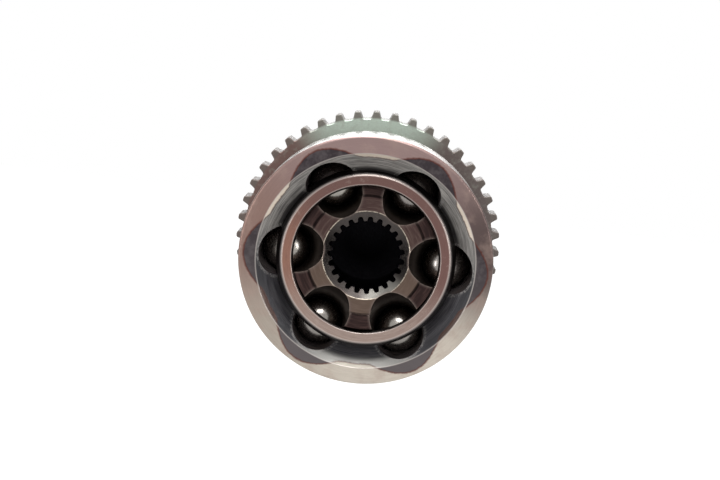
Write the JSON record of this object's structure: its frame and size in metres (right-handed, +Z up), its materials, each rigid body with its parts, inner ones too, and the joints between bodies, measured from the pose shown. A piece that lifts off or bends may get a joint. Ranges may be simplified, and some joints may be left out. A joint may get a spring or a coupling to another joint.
{
  "type": "constant-velocity joint",
  "caption": "Wheel-side fixed constant-velocity joint: open bell with curved ball tracks, ball cage, splined inner race, toothed speed ring and a splined, threaded stub shaft.",
  "frame": {"origin": "joint centre, where the bell's axis and the drive shaft's axis cross", "axes": "+Y along the bell's axis towards the stub shaft, so the mouth faces -Y; +Z up; ball_1 lies on +X, the axis about which the stored joint is bent"},
  "size_m": [0.0956, 0.1333, 0.0956],
  "materials": {
    "bell_steel": "turned face with brown heat tint, ground bore, black induction-hardened tracks",
    "ring_steel": "grey-green phosphated, satin",
    "cage_steel": "ground rim with brown tint, dark spherical faces",
    "race_steel": "turned face with brown tint, black polished tracks",
    "ball_steel": "polished, oiled, dark"
  },
  "bodies": {
    "outer_race": {"outer_race": "bell_steel", "tone_ring": "ring_steel"},
    "inner_race": {"inner_race": "race_steel"},
    "cage": {"cage": "cage_steel", "ball_1": "ball_steel", "ball_4": "ball_steel"},
    "ball_2": {"ball_2": "ball_steel"},
    "ball_3": {"ball_3": "ball_steel"},
    "ball_5": {"ball_5": "ball_steel"},
    "ball_6": {"ball_6": "ball_steel"}
  },
  "joints": [
    {"name": "shaft_bend", "type": "hinge", "parent": "outer_race", "child": "inner_race", "pos_m": [0, 0, 0], "axis": [-1, 0, 0], "range_deg": [-57.5, 32.5]},
    {"name": "cage_bend", "type": "hinge", "parent": "outer_race", "child": "cage", "pos_m": [0, 0, 0], "axis": [-1, 0, 0], "range_deg": [-28.8, 16.3]},
    {"name": "ball_2_roll", "type": "hinge", "parent": "outer_race", "child": "ball_2", "pos_m": [0, -0.003, 0], "axis": [0.866, 0, -0.5], "range_deg": [-14.31, 25.27]},
    {"name": "ball_3_roll", "type": "hinge", "parent": "outer_race", "child": "ball_3", "pos_m": [0, -0.003, 0], "axis": [0.866, 0, 0.5], "range_deg": [-14.31, 25.27]},
    {"name": "ball_5_roll", "type": "hinge", "parent": "outer_race", "child": "ball_5", "pos_m": [0, -0.003, 0], "axis": [-0.866, 0, 0.5], "range_deg": [-25.27, 14.31]},
    {"name": "ball_6_roll", "type": "hinge", "parent": "outer_race", "child": "ball_6", "pos_m": [0, -0.003, 0], "axis": [-0.866, 0, -0.5], "range_deg": [-25.27, 14.31]}
  ],
  "couplings": [
    {"joint": "cage_bend", "follows": "shaft_bend", "ratio": 0.5},
    {"joint": "ball_2_roll", "follows": "shaft_bend", "ratio": -0.43864},
    {"joint": "ball_3_roll", "follows": "shaft_bend", "ratio": -0.43864},
    {"joint": "ball_5_roll", "follows": "shaft_bend", "ratio": 0.43864},
    {"joint": "ball_6_roll", "follows": "shaft_bend", "ratio": 0.43864}
  ]
}
